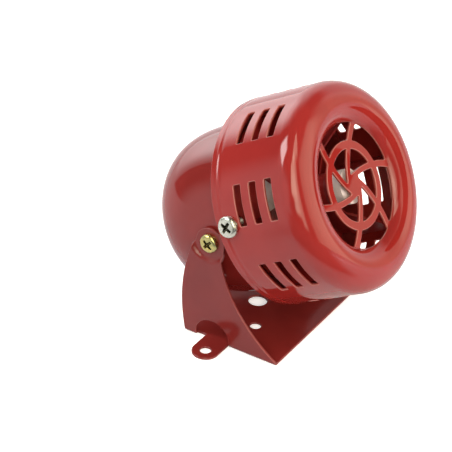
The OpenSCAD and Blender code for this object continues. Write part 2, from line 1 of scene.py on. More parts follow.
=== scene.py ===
"""Looks of a small motor siren on a swivel bracket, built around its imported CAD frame.

Lengths are in millimetres until a mesh is made, and `make` turns them into metres. The stage,
the lights and the camera are in metres.
The siren head is drawn in its own frame: z along its axis with z = 0 at the grille's face,
x to the right and y up as seen from the front. HEAD puts it on the tilt pivot.
"""

import json
import math

import bmesh
import bpy
import numpy as np
from mathutils import Matrix, Vector, kdtree
from mathutils.geometry import delaunay_2d_cdt


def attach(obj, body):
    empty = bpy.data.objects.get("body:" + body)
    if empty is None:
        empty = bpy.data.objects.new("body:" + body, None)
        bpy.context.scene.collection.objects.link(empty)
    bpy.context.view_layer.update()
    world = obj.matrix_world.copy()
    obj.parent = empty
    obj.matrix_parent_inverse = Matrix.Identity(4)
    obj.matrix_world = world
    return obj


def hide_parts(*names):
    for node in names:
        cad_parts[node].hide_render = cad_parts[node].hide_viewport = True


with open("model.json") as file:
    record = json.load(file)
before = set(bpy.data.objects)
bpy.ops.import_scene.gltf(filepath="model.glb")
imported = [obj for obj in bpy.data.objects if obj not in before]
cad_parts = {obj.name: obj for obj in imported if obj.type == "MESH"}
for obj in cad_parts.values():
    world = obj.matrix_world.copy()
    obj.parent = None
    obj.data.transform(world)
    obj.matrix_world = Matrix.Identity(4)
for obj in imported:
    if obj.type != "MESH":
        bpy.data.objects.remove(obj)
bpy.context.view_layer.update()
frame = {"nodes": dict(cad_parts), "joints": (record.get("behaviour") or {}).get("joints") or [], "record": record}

MM = 0.001
TURN = 2 * math.pi
AROUND = 288  # segments around the turned shells

# Siren head, from the CAD design
SHEET = 1.2
HOUSING_R = 45.0
HOUSING_LEN = 40.4
LIP_R = 10.0
LIP_C = (35.0, -5.1)
FILLET_R = 1.0
FILLET_C = (25.85, 1.0)
GRILLE_SEAM_R = 28.0
SLOT_HALF = (8.62, 1.78)
SLOT_Z = (-26.6, -18.6, -10.6)
SLOT_TURN = 26
SLOT_GROUPS = 8
SLOT_CORNER_R = 0.55
SCREWS = 3
SCREW_Z = -34.0
SCREW_TURN = 80.6
SCREW_HOLE_R = 2.2
BEAD = (0.12, -37.2, 0.55)  # height, z and width
GROOVE = (0.1, -35.9, 0.8)
BEAD_ROWS = (-38.6, -34.8, 0.3)  # heights where the wall gets extra points, and their spacing
WALL_LOW = -39.8
LIP_MEETS_R = 26.684  # where the grille's fillet meets the lip
GRILLE_R = 26.4
RING_IN = 15.4
RING_OUT = 19.0
BOSS_R = 4.8
ARMS = 6
ARM_C = (5.0, -42.35)
ARM_R = 46.0
ARM_SHIFT = (0.9, 1.2)
WINDOW_BLUR = 0.42
DOME_R = 36.95
DOME_Z = -51.6
DOME_DEPTH = 38.2
DOME_POWER = 3.0
BELT_LOW = -62.0  # the dome's side wall ends here
DOME_END_R = 26.0  # and its end starts here
FLANGE_R = 43.0
FLANGE_FILLET = 1.5
FLANGE_SCREW_R = 40.1
FLANGE_SCREWS = (45, 135, 225, 315)
FLANGE_HOLE_R = 1.7
PIVOT_BACK = 52.2
PIVOT_HOLE_R = 2.1
GROMMET = (9.0, -12.0)
GROMMET_HOLE_R = 4.0
WIRE_R = 1.1
WIRE_GAP = 1.6
SLEEVE_PAINT = (-30, -8.8, (0.2, 0.009, 0.008))  # painted stretch of the hub's sleeve

# Bracket
BEND_R = 2.0
LEAN = math.radians(3.8)
BEND_RISE = BEND_R * (1 - math.sin(LEAN)) / math.cos(LEAN)
BASE_HALF = 37.2
BASE_FLAT = BASE_HALF + BEND_R * math.tan(LEAN) - BEND_R
BASE_REACH = 23.1
PIVOT_Y = 11.1
PIVOT_Z = 50.4
ARM_TOP_R = 6.9
ARM_REAR_MID = (24.4, 16)
ARM_FRONT_TOP = (4.8, 44)
ARM_FRONT_MID = (-4.9, 20)
ARM_HOLE_R = 2.08
PAD_OUT = 38.65
PAD_STEP = (7.2, 9.6)
PAD_RING = (6.6, 10.4)  # where the arm gets extra points
PAD_SPACING = 0.45
LUG_X = 45.4
LUG_Y = 6.9
LUG_R = 6.0
LANCE_Y = 8.9
LANCE_R = 8.4
LANCE_H = 10.8
CENTRE_HOLE = (0, -8.2)
CENTRE_HOLE_R = 4.2
BASE_HOLE = (17.3, 1.2)
SMALL_HOLE_R = 2.45
STRETCH = 22.0  # room that the bend takes in the bracket's flat outline, so that the lug fits inside

# Screws as (head diameter, head height, thread diameter, length, pitch)
HOUSING_SCREW = (9.3, 2.7, 4, 6, 0.7)
PIVOT_SCREW = (8.5, 2.5, 4, 7, 0.7)
FLANGE_SCREW = (5.2, 1.8, 3, 3.5, 0.5)

# Camera, fill light and black card, in metres and radians
CAMERA_AT = (-0.53367, -0.29053, 0.41681)
CAMERA_HEADING = math.radians(-59.269)
CAMERA_DROP = math.radians(31.682)
CAMERA_ROLL = math.radians(2.885)
SENSOR_MM = 36
LENS_MM = 130.9
FILL_AT = (0.1, -0.95, 0.02)
FILL_AIM = (0, 0, 0.06)
FILL_SIZE = 0.7
FILL_WATTS = 7.0
CARD_HEADING = math.radians(28)
CARD_RISE = math.radians(25)
CARD_AT = (0.040, -0.077, 0.091)
CARD_HALF = (0.018, 0.012)

joints = {j["name"]: j for j in frame["joints"]}
PIVOT = Vector(joints["tilt"]["pos_m"])
AXIS = Vector(joints["rotor_spin"]["axis"]).normalized()
RIGHT = Vector((1, 0, 0))
HEAD_UP = AXIS.cross(RIGHT)
HEAD = Matrix.Translation(PIVOT + AXIS * PIVOT_BACK * MM) @ Matrix(
    (RIGHT, HEAD_UP, AXIS)).transposed().to_4x4() @ Matrix.Scale(MM, 4)
WORLD = Matrix.Scale(MM, 4)


# ---- Meshes ----


class Shell:
    """Points, their normals and the faces of one piece, in millimetres."""

    def __init__(self):
        self.points = []
        self.normals = []
        # Marks for the third tone: thinner paint with a painted highlight on cut edges, painted shade in screw
        # recesses.
        self.wear = []
        self.faces = []

    def add(self, points, normals, faces, matrix=None, wear=0.0):
        points = np.asarray(points, float)
        normals = np.zeros_like(points) if normals is None else np.asarray(normals, float)
        if matrix is not None:
            m = np.array(matrix)
            points = points @ m[:3, :3].T + m[:3, 3]
            normals = normals @ m[:3, :3].T
        base = len(self.points)
        self.points.extend(points.tolist())
        self.normals.extend(normals.tolist())
        self.wear.extend(np.broadcast_to(wear, len(points)).tolist())
        self.faces.extend([base + i for i in face] for face in faces)

    def grid(self, points, normals=None, matrix=None, wear=0.0):
        """Quads between rows of points, each of which is a closed loop."""
        points = np.asarray(points, float)
        rows, count = points.shape[:2]
        faces = []
        for i in range(rows - 1):
            for k in range(count):
                n = (k + 1) % count
                faces.append((i * count + k, i * count + n, (i + 1) * count + n, (i + 1) * count + k))
        flat_normals = None if normals is None else np.asarray(normals, float).reshape(-1, 3)
        self.add(points.reshape(-1, 3), flat_normals, faces, matrix, wear)


def placed(name, data):
    """A new object in the scene."""
    item = bpy.data.objects.new(name, data)
    bpy.context.scene.collection.objects.link(item)
    return item


def make(name, shell, matrix, body, material, nodes=()):
    """Turns a shell into a piece that rides on a body and stands for CAD nodes."""
    m = np.array(matrix)
    points = np.array(shell.points) @ m[:3, :3].T + m[:3, 3]
    normals = np.array(shell.normals) @ m[:3, :3].T
    lengths = np.linalg.norm(normals, axis=1, keepdims=True)
    normals = np.where(lengths > 0, normals / np.maximum(lengths, 1e-12), 0)
    bm = bmesh.new()
    facing = bm.verts.layers.float_vector.new("facing")
    # Marks for the third tone: thinner paint with a painted highlight on cut edges, painted shade in screw
    # recesses.
    wear = bm.verts.layers.float.new("wear")
    verts = []
    for p, n, w in zip(points, normals, shell.wear):
        v = bm.verts.new(p)
        v[facing] = n
        v[wear] = w
        verts.append(v)
    for face in shell.faces:
        bm.faces.new([verts[i] for i in face])
    bmesh.ops.remove_doubles(bm, verts=bm.verts, dist=0.004 * MM)
    bmesh.ops.dissolve_degenerate(bm, edges=bm.edges, dist=0.0001 * MM)
    loose = [v for v in bm.verts if not v.link_faces]
    bmesh.ops.delete(bm, geom=loose, context="VERTS")
    bmesh.ops.recalc_face_normals(bm, faces=bm.faces)
    open_edges = sum(1 for e in bm.edges if len(e.link_faces) != 2)
    mesh = bpy.data.meshes.new(name)
    bm.to_mesh(mesh)
    bm.free()
    mesh.shade_smooth()
    stored = np.zeros(len(mesh.vertices) * 3, np.float32)
    mesh.attributes["facing"].data.foreach_get("vector", stored)
    mesh.normals_split_custom_set_from_vertices(stored.reshape(-1, 3).tolist())
    mesh.attributes.remove(mesh.attributes["facing"])
    piece = placed(name, mesh)
    mesh.materials.append(material)
    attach(piece, body)
    if nodes:
        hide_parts(*nodes)
    print(f"piece {name}: {len(mesh.vertices)} points, {open_edges} open edges")


def circle(centre, radius, count):
    angles = np.arange(count) * TURN / count
    return np.stack([centre[0] + radius * np.cos(angles), centre[1] + radius * np.sin(angles)], 1)


def arc(centre, radius, a0, a1, count):
    """Points along an arc, with its angles in degrees."""
    angles = np.radians(np.linspace(a0, a1, count))
    return np.stack([centre[0] + radius * np.cos(angles), centre[1] + radius * np.sin(angles)], 1)


def resample(loop, spacing):
    """The same closed line with evenly spaced points."""
    closed = np.vstack([loop, loop[:1]])
    lengths = np.linalg.norm(np.diff(closed, axis=0), axis=1)
    along = np.concatenate([[0], np.cumsum(lengths)])
    count = max(8, int(round(along[-1] / spacing)))
    at = np.arange(count) * along[-1] / count
    return np.stack([np.interp(at, along, closed[:, i]) for i in (0, 1)], 1)


def soften(loop, blur, spacing):
    """A closed line with its corners rounded by a Gaussian of width blur."""
    fine = 0.08
    dense = resample(np.asarray(loop, float), fine)
    reach = int(4 * blur / fine)
    weights = np.exp(-0.5 * (np.arange(-reach, reach + 1) * fine / blur) ** 2)
    weights /= weights.sum()
    rounded = sum(w * np.roll(dense, k - reach, axis=0) for k, w in enumerate(weights))
    return resample(rounded, spacing)


def signed_area(loop):
    x, y = loop[:, 0], loop[:, 1]
    return 0.5 * float(np.sum(x * np.roll(y, -1) - y * np.roll(x, -1)))


def inside(points, loops):
    """Whether each point lies inside the outer loop and outside the holes."""
    odd = np.zeros(len(points), bool)
    for loop in loops:
        a, b = loop, np.roll(loop, -1, axis=0)
        for start in range(0, len(points), 4000):
            p = points[start:start + 4000, None, :]
            crosses = (a[:, 1] > p[..., 1]) != (b[:, 1] > p[..., 1])
            rise = np.where(b[:, 1] == a[:, 1], 1e-12, b[:, 1] - a[:, 1])
            x = a[:, 0] + (p[..., 1] - a[:, 1]) * (b[:, 0] - a[:, 0]) / rise
            odd[start:start + 4000] ^= (np.sum(crosses & (p[..., 0] < x), axis=1) % 2).astype(bool)
    return odd


def fill(loops, step, extra=None):
    """Triangles that fill flat loops, with a grid of points inside them."""
    border = np.vstack(loops)
    low, high = border.min(0), border.max(0)
    xs = np.arange(low[0] + step / 2, high[0], step)
    ys = np.arange(low[1] + step / 2, high[1], step * 0.87)
    grid = np.array([(x + (step / 2 if j % 2 else 0), y) for j, y in enumerate(ys) for x in xs])
    if extra is not None:
        grid = np.vstack([extra, grid])
    tree = kdtree.KDTree(len(border))
    for i, p in enumerate(border):
        tree.insert((p[0], p[1], 0), i)
    tree.balance()
    grid = grid[inside(grid, loops)]
    room = 0.5 * step if extra is None else 0.28  # extra points stand close together
    grid = grid[[i for i, p in enumerate(grid) if tree.find((p[0], p[1], 0))[2] > room]]
    points = np.vstack([border, grid])
    edges = []
    base = 0
    for loop in loops:
        n = len(loop)
        edges.extend((base + i, base + (i + 1) % n) for i in range(n))
        base += n
    out = delaunay_2d_cdt([Vector(p) for p in points], edges, [], 0, 1e-6)
    source = [ids[0] if ids else None for ids in out[3]]
    corners = np.array([points[s] if s is not None else tuple(c) for s, c in zip(source, out[0])])
    triangles = np.array([f for f in out[2] if len(f) == 3])
    keep = inside(corners[triangles].mean(1), loops)
    return corners, triangles[keep]


def lay(surface, flat):
    """Points of a surface at flat coordinates, with its two directions and its unit normals."""
    h = 0.01
    along = surface(flat + (h, 0)) - surface(flat - (h, 0))
    across = surface(flat + (0, h)) - surface(flat - (0, h))
    normal = np.cross(along, across)
    normal /= np.linalg.norm(normal, axis=1, keepdims=True)
    return surface(flat), along, across, normal


def sheet(shell, loops, surface, step, edge=0.35, extra=None):
    """A curved sheet. Loops are (points, rimmed): a rimmed loop gets a rounded edge, and the
    others are left open for the next part of the shell to join."""
    turned = []
    for i, (points, rimmed) in enumerate(loops):
        flip = (signed_area(points) > 0) != (i == 0)
        turned.append((points[::-1] if flip else points, rimmed))
    shrunk = []
    for points, rimmed in turned:
        ahead = np.roll(points, -1, axis=0) - np.roll(points, 1, axis=0)
        ahead /= np.linalg.norm(ahead, axis=1, keepdims=True)
        inward = np.stack([-ahead[:, 1], ahead[:, 0]], 1)
        shrunk.append(points + edge * inward if rimmed else points)
        if rimmed:
            rim(shell, points, inward, surface, edge)
    flat, triangles = fill(shrunk, step, extra)
    points, _, _, normals = lay(surface, flat)
    shell.add(points, normals, triangles)
    shell.add(points - SHEET * normals, -normals, triangles[:, ::-1])


def rim(shell, points, inward, surface, edge):
    """The rounded edge of a sheet along one loop. Its outer half is marked for the third tone:
    thinner paint with a painted highlight.
    """
    rows, facings, wear = [], [], []
    quarter = np.radians([0, 22.5, 45, 67.5, 90])
    rings = [(a, edge * (1 - math.cos(a)), 1) for a in quarter]
    rings += [(a, SHEET - edge * (1 - math.cos(a)), -1) for a in quarter[::-1]]
    for a, depth, side in rings:
        place, along, across, normal = lay(surface, points + edge * (1 - math.sin(a)) * inward)
        out = -(along * inward[:, :1] + across * inward[:, 1:])
        out /= np.linalg.norm(out, axis=1, keepdims=True)
        rows.append(place - depth * normal)
        facings.append(side * math.cos(a) * normal + math.sin(a) * out)
        wear.extend([float(side > 0 and a > 0)] * len(points))
    shell.grid(rows, facings, wear=wear)


def revolve(shell, profile, thick=SHEET, count=AROUND, matrix=None):
    """Turned wall from rows of (r, z, normal r, normal z). With no thickness it has one side."""
    angles = np.arange(count) * TURN / count
    c, s = np.cos(angles), np.sin(angles)
    for side in ((1, -1) if thick else (1,)):
        depth = 0 if side > 0 else thick
        rows, facings = [], []
        for r, z, nr, nz in profile:
            radius = r - depth * nr
            rows.append(np.stack([radius * c, radius * s, np.full(count, z - depth * nz)], 1))
            facings.append(side * np.stack([nr * c, nr * s, np.full(count, nz)], 1))
        shell.grid(rows, facings, matrix=matrix)


def arc_profile(centre, radius, a0, a1, count, side=1):
    """Profile rows along an arc. Side is 1 where the normal leaves its centre."""
    rows = []
    for a in np.radians(np.linspace(a0, a1, count)):
        c, s = math.cos(a), math.sin(a)
        rows.append((centre[0] + radius * c, centre[1] + radius * s, side * c, side * s))
    return rows


def belt(radius, low, high, rows):
    """Flat outline of a turned wall, as distance around it and height, and its steps around."""
    length = TURN * radius
    around = np.arange(AROUND + 1) * length / AROUND
    across = np.linspace(low, high, rows)
    outline = np.vstack([
        np.stack([around, np.full(AROUND + 1, low)], 1),
        np.stack([np.full(rows - 2, length), across[1:-1]], 1),
        np.stack([around[::-1], np.full(AROUND + 1, high)], 1),
        np.stack([np.zeros(rows - 2), across[-2:0:-1]], 1),
    ])
    return outline, around


# ---- Front housing ----


def slots_and_screw_holes():
    """Outlines of the slots and screw holes, as distance around the wall and height."""
    loops = []
    for g in range(SLOT_GROUPS):
        u = HOUSING_R * math.radians((90 + SLOT_TURN + g * 360 / SLOT_GROUPS) % 360)
        for z in SLOT_Z:
            w, h = SLOT_HALF[0] - SLOT_CORNER_R, SLOT_HALF[1] - SLOT_CORNER_R
            corners = ((w, h, 0), (-w, h, 90), (-w, -h, 180), (w, -h, 270))
            rounds = [arc((u + x, z + y), SLOT_CORNER_R, a, a + 90, 7) for x, y, a in corners]
            loops.append((resample(np.vstack(rounds), 0.3), True))
    for i in range(SCREWS):
        u = HOUSING_R * math.radians((90 + SCREW_TURN + i * 360 / SCREWS) % 360)
        loops.append((circle((u, SCREW_Z), SCREW_HOLE_R, 40), True))
    return loops


def swell(z, shape):
    """Height at z of a smooth ridge, whose shape is its height, its place and its width."""
    height, place, width = shape
    return height * np.exp(-((z - place) / width) ** 2)


def housing_wall(flat):
    """Side wall of the front housing, with a slight bead and groove ahead of its rear rim."""
    r = HOUSING_R - swell(flat[:, 1], GROOVE) + swell(flat[:, 1], BEAD)
    a = flat[:, 0] / HOUSING_R
    return np.stack([r * np.cos(a), r * np.sin(a), flat[:, 1]], 1)


def grille_height(r):
    flat = np.zeros_like(r)
    fillet = FILLET_C[1] - np.sqrt(np.maximum(FILLET_R ** 2 - (r - FILLET_C[0]) ** 2, 0))
    lip = LIP_C[1] + np.sqrt(np.maximum(LIP_R ** 2 - (r - LIP_C[0]) ** 2, 0))
    return np.where(r < FILLET_C[0], flat, np.where(r < LIP_MEETS_R, fillet, lip))


def grille_face(flat):
    return np.stack([flat[:, 0], flat[:, 1], grille_height(np.hypot(flat[:, 0], flat[:, 1]))], 1)


def arm_edge(side, r):
    """Angle at which one edge of the first arm crosses radius r, in degrees."""
    cx, cy = ARM_C[0] + side * ARM_SHIFT[0], ARM_C[1] + side * ARM_SHIFT[1]
    d = math.hypot(cx, cy)
    spread = math.acos((r * r + d * d - ARM_R ** 2) / (2 * r * d))
    return math.degrees(math.atan2(cy, cx) + spread)


def grille_window(r_in, r_out, turn):
    """Outline of the window between one arm and the next."""
    low = [(arm_edge(1, r), r) for r in np.linspace(r_in, r_out, 40)]
    high = [(arm_edge(-1, r) + 360 / ARMS, r) for r in np.linspace(r_out, r_in, 40)]
    outer = [(a, r_out) for a in np.linspace(low[-1][0], high[0][0], 40)]
    inner = [(a, r_in) for a in np.linspace(high[-1][0], low[0][0], 40)]
    polar = np.array(low + outer[1:-1] + high + inner[1:-1])
    angles = np.radians(polar[:, 0] + turn)
    line = np.stack([polar[:, 1] * np.cos(angles), polar[:, 1] * np.sin(angles)], 1)
    return soften(line, WINDOW_BLUR, 0.3)


def front_housing(material):
    shell = Shell()
    border, around = belt(HOUSING_R, WALL_LOW, LIP_C[1], 40)
    bead = np.array([(x, z) for z in np.arange(*BEAD_ROWS) for x in around[1:-1]])
    sheet(shell, [(border, False)] + slots_and_screw_holes(), housing_wall, 1.0, extra=bead)
    seam = math.degrees(math.acos((GRILLE_SEAM_R - LIP_C[0]) / LIP_R))
    revolve(shell, arc_profile(LIP_C, LIP_R, 0, seam, 44))
    windows = []
    for k in range(ARMS):
        windows.append((grille_window(BOSS_R, RING_IN, k * 360 / ARMS), True))
        windows.append((grille_window(RING_OUT, GRILLE_R, k * 360 / ARMS), True))
    sheet(shell, [(circle((0, 0), GRILLE_SEAM_R, AROUND), False)] + windows, grille_face, 0.8)
    half = SHEET / 2
    revolve(shell, arc_profile((HOUSING_R - half, WALL_LOW), half, 0, -180, 13), thick=0)
    make("front_housing_shell", shell, HEAD, "siren", material, ["front_housing"])


# ---- Motor housing ----


def dome_radius(z):
    deep = np.clip((DOME_Z - z) / DOME_DEPTH, 0, 1)
    return DOME_R * (1 - deep ** DOME_POWER) ** (1 / DOME_POWER)


def dome_height(r):
    return DOME_Z - DOME_DEPTH * (1 - np.clip(r / DOME_R, 0, 1) ** DOME_POWER) ** (1 / DOME_POWER)


def dome_side(flat):
    a = flat[:, 0] / DOME_R
    r = dome_radius(flat[:, 1])
    return np.stack([r * np.cos(a), r * np.sin(a), flat[:, 1]], 1)


def dome_end(flat):
    return np.stack([flat[:, 0], -flat[:, 1], dome_height(np.hypot(flat[:, 0], flat[:, 1]))], 1)


def flange_face(flat):
    return np.stack([flat[:, 0], -flat[:, 1], np.full(len(flat), -HOUSING_LEN)], 1)


def motor_housing(material):
    shell = Shell()
    seam_r = DOME_R + FLANGE_FILLET
    belt_top = -HOUSING_LEN - FLANGE_FILLET
    places = [FLANGE_SCREW_R * np.array((math.cos(a), math.sin(a))) for a in np.radians(FLANGE_SCREWS)]
    holes = [(circle(place, FLANGE_HOLE_R, 32), True) for place in places]
    rings = [(circle((0, 0), FLANGE_R, AROUND), True), (circle((0, 0), seam_r, AROUND), False)]
    sheet(shell, rings + holes, flange_face, 1.2)
    corner = (seam_r, belt_top)
    revolve(shell, arc_profile(corner, FLANGE_FILLET, 90, 180, 9, side=-1))
    length = TURN * DOME_R
    border, _ = belt(DOME_R, BELT_LOW, belt_top, 24)
    border += (length / 4, 0)  # keeps the pivot holes away from the belt's ends
    pivots = [(circle((k * length / 2, -PIVOT_BACK), PIVOT_HOLE_R, 40), True) for k in (1, 2)]
    sheet(shell, [(border, False)] + pivots, dome_side, 1.1)
    rows = []
    end_z = float(dome_height(np.array(DOME_END_R)))
    a0 = math.asin(((DOME_Z - BELT_LOW) / DOME_DEPTH) ** (DOME_POWER / 2))
    a1 = math.asin(((DOME_Z - end_z) / DOME_DEPTH) ** (DOME_POWER / 2))
    for t in np.linspace(0, 1, 40):
        a = a0 + (a1 - a0) * t
        r = DOME_R * math.cos(a) ** (2 / DOME_POWER)
        z = DOME_Z - DOME_DEPTH * math.sin(a) ** (2 / DOME_POWER)
        nr = (r / DOME_R) ** (DOME_POWER - 1) / DOME_R
        nz = -((DOME_Z - z) / DOME_DEPTH) ** (DOME_POWER - 1) / DOME_DEPTH
        n = math.hypot(nr, nz)
        rows.append((r, z, nr / n, nz / n))
    revolve(shell, rows)
    hole = circle((GROMMET[0], -GROMMET[1]), GROMMET_HOLE_R, 60)
    sheet(shell, [(circle((0, 0), DOME_END_R, AROUND), False), (hole, True)], dome_end, 1.1)
    make("motor_housing_shell", shell, HEAD, "siren", material, ["motor_housing"])


# ---- Bracket ----


def bracket_surface(flat):
    """Outer face of the bent sheet. Flat x runs across the base and up an arm, and flat y
    runs forwards."""
    p, y = flat[:, 0], -flat[:, 1]
    side = np.sign(p)
    run = np.abs(p) - BASE_FLAT
    turn = np.clip(run / STRETCH, 0, 1) * (math.pi / 2 - LEAN)
    h = np.maximum(run - STRETCH, 0) + BEND_RISE
    on_arm = run > STRETCH
    x = np.where(on_arm, BASE_HALF + h * math.sin(LEAN), BASE_FLAT + BEND_R * np.sin(turn))
    z = np.where(on_arm, h * math.cos(LEAN), BEND_R * (1 - np.cos(turn)))
    away = np.hypot(y - PIVOT_Y, z - PIVOT_Z)
    share = np.clip((away - PAD_STEP[0]) / (PAD_STEP[1] - PAD_STEP[0]), 0, 1)
    share = share * share * (3 - 2 * share)
    x = np.where(on_arm, PAD_OUT + (x - PAD_OUT) * share, x)
    lug = (run > 0) & (np.abs(y - LUG_Y) < LUG_R + 0.2) & (np.abs(p) < LUG_X + LUG_R + 0.6)
    flat_part = (run <= 0) | lug
    x = np.where(flat_part, np.abs(p), x)
    z = np.where(flat_part, 0, z)
    return np.stack([side * x, y, z], 1)


def through(p, q, s, count):
    """Points of the arc from p through q to s."""
    (ax, ay), (bx, by), (cx, cy) = p, q, s
    d = 2 * (ax * (by - cy) + bx * (cy - ay) + cx * (ay - by))
    aa, bb, cc = ax * ax + ay * ay, bx * bx + by * by, cx * cx + cy * cy
    ux = (aa * (by - cy) + bb * (cy - ay) + cc * (ay - by)) / d
    uy = (aa * (cx - bx) + bb * (ax - cx) + cc * (bx - ax)) / d
    a0 = math.degrees(math.atan2(ay - uy, ax - ux))
    turn = (math.degrees(math.atan2(cy - uy, cx - ux)) - a0 + 180) % 360 - 180
    return arc((ux, uy), math.hypot(ax - ux, ay - uy), a0, a0 + turn, count)


def arm_flat(side, points):
    """Turns points of an arm's side view, as y and height, into flat coordinates."""
    return np.stack([side * (BASE_FLAT + STRETCH + points[:, 1] - BEND_RISE), -points[:, 0]], 1)


def bracket(material):
    shell = Shell()
    rear = through((BASE_REACH, BEND_RISE), ARM_REAR_MID, (PIVOT_Y + ARM_TOP_R, PIVOT_Z), 60)
    top = arc((PIVOT_Y, PIVOT_Z), ARM_TOP_R, 0, 180, 50)
    front = through(ARM_FRONT_TOP, ARM_FRONT_MID, (-BASE_REACH, BEND_RISE), 60)
    side_view = np.vstack([rear, top[1:-1], front])
    outline = np.vstack([arm_flat(1, side_view), arm_flat(-1, side_view[::-1])])
    loops = [(soften(outline, 0.45, 0.45), True)]
    for side in (-1, 1):
        opening = arc((LANCE_Y, LANCE_H - LANCE_R), LANCE_R, 0, 180, 40)
        upper = arm_flat(side, opening)
        lug = arc((LUG_X, LUG_Y), LUG_R, -90, 90, 40)
        lug_flat = np.stack([side * lug[:, 0], -lug[:, 1]], 1)
        start, end = LANCE_Y + LANCE_R, LANCE_Y - LANCE_R
        corner = side * BASE_FLAT
        path = np.vstack([
            [(corner, -start)], upper, [(corner, -end)],
            [(corner, -(LUG_Y - LUG_R))], lug_flat, [(corner, -(LUG_Y + LUG_R))],
        ])
        loops.append((soften(path, 0.3, 0.35), True))
        loops.append((circle((side * LUG_X, -LUG_Y), SMALL_HOLE_R, 44), True))
        loops.append((circle((side * BASE_HOLE[0], BASE_HOLE[1]), SMALL_HOLE_R, 44), True))
        pivot_h = PIVOT_Z / math.cos(LEAN)
        loops.append((arm_flat(side, circle((PIVOT_Y, pivot_h), ARM_HOLE_R, 40)), True))
    loops.append((circle(CENTRE_HOLE, CENTRE_HOLE_R, 64), True))
    steps = np.arange(-10.5, 10.6, PAD_SPACING)
    pad = [(y + PIVOT_Y, z + PIVOT_Z) for y in steps for z in steps
           if PAD_RING[0] < math.hypot(y, z) < PAD_RING[1]]
    extra = np.vstack([arm_flat(side, np.array(pad)) for side in (-1, 1)])
    sheet(shell, loops, bracket_surface, 1.15, edge=0.3, extra=extra)
    make("bracket_sheet", shell, WORLD, "bracket", material, ["bracket"])


# ---- Screws ----


def cross(width, length, blur):
    """Outline of a cross recess."""
    corners = []
    for k in range(4):
        c, s = (1, 0, -1, 0)[k], (0, 1, 0, -1)[k]
        for x, y in ((width, -width), (length, -0.8 * width), (length, 0.8 * width)):
            corners.append((c * x - s * y, s * x + c * y))
    return soften(corners, blur, 0.12)


def pan_screw(shell, matrix, size):
    """Pan-head screw with a cross recess and a rolled thread. Its bearing face is at z = 0."""
    head_d, head_h, shank_d, length, pitch = size
    r = head_d / 2
    round_r = head_h * 0.62
    top_r = r - round_r
    crown = head_h * 0.1
    count = 96
    recess_depth = head_h * 0.72
    narrowing = 0.34  # how much narrower the recess is at its floor
    edge_r = 0.15
    neck = 0.2
    thread_h = 0.22 * pitch

    def top(flat):
        a = np.hypot(flat[:, 0], flat[:, 1]) / top_r
        return np.stack([flat[:, 0], flat[:, 1], head_h - crown * a * a], 1)

    recess = cross(head_d * 0.085, head_d * 0.3, 0.14)
    flat, triangles = fill([circle((0, 0), top_r, count), recess], 0.35)
    points, _, _, normals = lay(top, flat)
    shell.add(points, normals, triangles, matrix)
    rows = []
    for t in np.linspace(0, 1, 7):
        ring = top(recess)
        ring[:, :2] *= 1 - narrowing * t
        ring[:, 2] = ring[:, 2] * (1 - t) + (head_h - recess_depth) * t
        rows.append(ring)
    # The recess walls below the top take the third tone, painted shade in the recess.
    shell.grid(rows, matrix=matrix, wear=np.repeat(np.arange(7) > 0, len(recess)))
    floor_line = recess * (1 - narrowing)
    flat, triangles = fill([floor_line], 0.3)
    depth = recess_depth + 0.25 * (1 - np.hypot(flat[:, 0], flat[:, 1]) / (head_d * 0.2))
    on_line = len(floor_line)
    depth = np.where(np.arange(len(flat)) < on_line, recess_depth, np.maximum(depth, recess_depth))
    # The recess floor takes the third tone too, painted shade in the recess.
    shell.add(np.column_stack([flat, head_h - depth]), None, triangles, matrix, wear=1.0)
    rows = arc_profile((top_r, head_h - crown - round_r), round_r, 90, 12, 14)
    rows += arc_profile((r - edge_r, edge_r), edge_r, 0, -90, 5)
    rows += [(shank_d / 2 + neck, 0, 0, -1)]
    revolve(shell, rows, thick=0, count=count, matrix=matrix)
    angles = np.arange(count) * TURN / count
    levels = np.arange(0, length + 0.01, pitch / 8)
    thread = []
    for z in levels:
        phase = (z / pitch - angles / TURN) % 1
        ridge = thread_h * (1 - np.abs(2 * phase - 1) * 2).clip(-1, 1)
        fade = min(1, z / pitch) * min(1, (length - z) / pitch)
        taper = 0.4 * max(0, 1 - (length - z) / (0.7 * pitch))
        radius = shank_d / 2 - thread_h * fade + ridge * fade - taper
        radius = radius + (neck if z == 0 else 0)
        thread.append(np.stack([radius * np.cos(angles), radius * np.sin(angles), np.full(count, -z)], 1))
    shell.grid(thread, matrix=matrix)
    tip = thread[-1]
    centre = np.array([[0, 0, -length - 0.1]])
    fan = [(i, (i + 1) % count, count) for i in range(count)]
    shell.add(np.vstack([tip, centre]), None, fan, matrix)


def turned(angle, axis):
    return Matrix.Rotation(math.radians(angle), 4, axis)


def moved(x, y, z):
    return Matrix.Translation((x, y, z))


def screws(zinc, yellow):
    housing = Shell()
    for i in range(SCREWS):
        at = turned(SCREW_TURN + i * 360 / SCREWS, "Z") @ moved(0, 0, SCREW_Z) @ turned(-90, "X")
        pan_screw(housing, at @ moved(0, 0, HOUSING_R) @ turned(40, "Z"), HOUSING_SCREW)
    make("housing_screw_set", housing, HEAD, "siren", zinc, ["housing_screws"])
    pivots = Shell()
    for side in (-90, 90):
        at = moved(0, 0, -PIVOT_BACK) @ turned(side, "Y") @ moved(0, 0, PAD_OUT) @ turned(20, "Z")
        pan_screw(pivots, at, PIVOT_SCREW)
    make("pivot_screw_set", pivots, HEAD, "siren", yellow, ["pivot_screws"])
    flange = Shell()
    for angle in FLANGE_SCREWS:
        at = turned(angle, "Z") @ moved(FLANGE_SCREW_R, 0, -HOUSING_LEN) @ turned(180, "X")
        pan_screw(flange, at, FLANGE_SCREW)
    make("flange_screw_set", flange, HEAD, "siren", zinc, ["motor_housing_screws"])


# ---- Leads ----


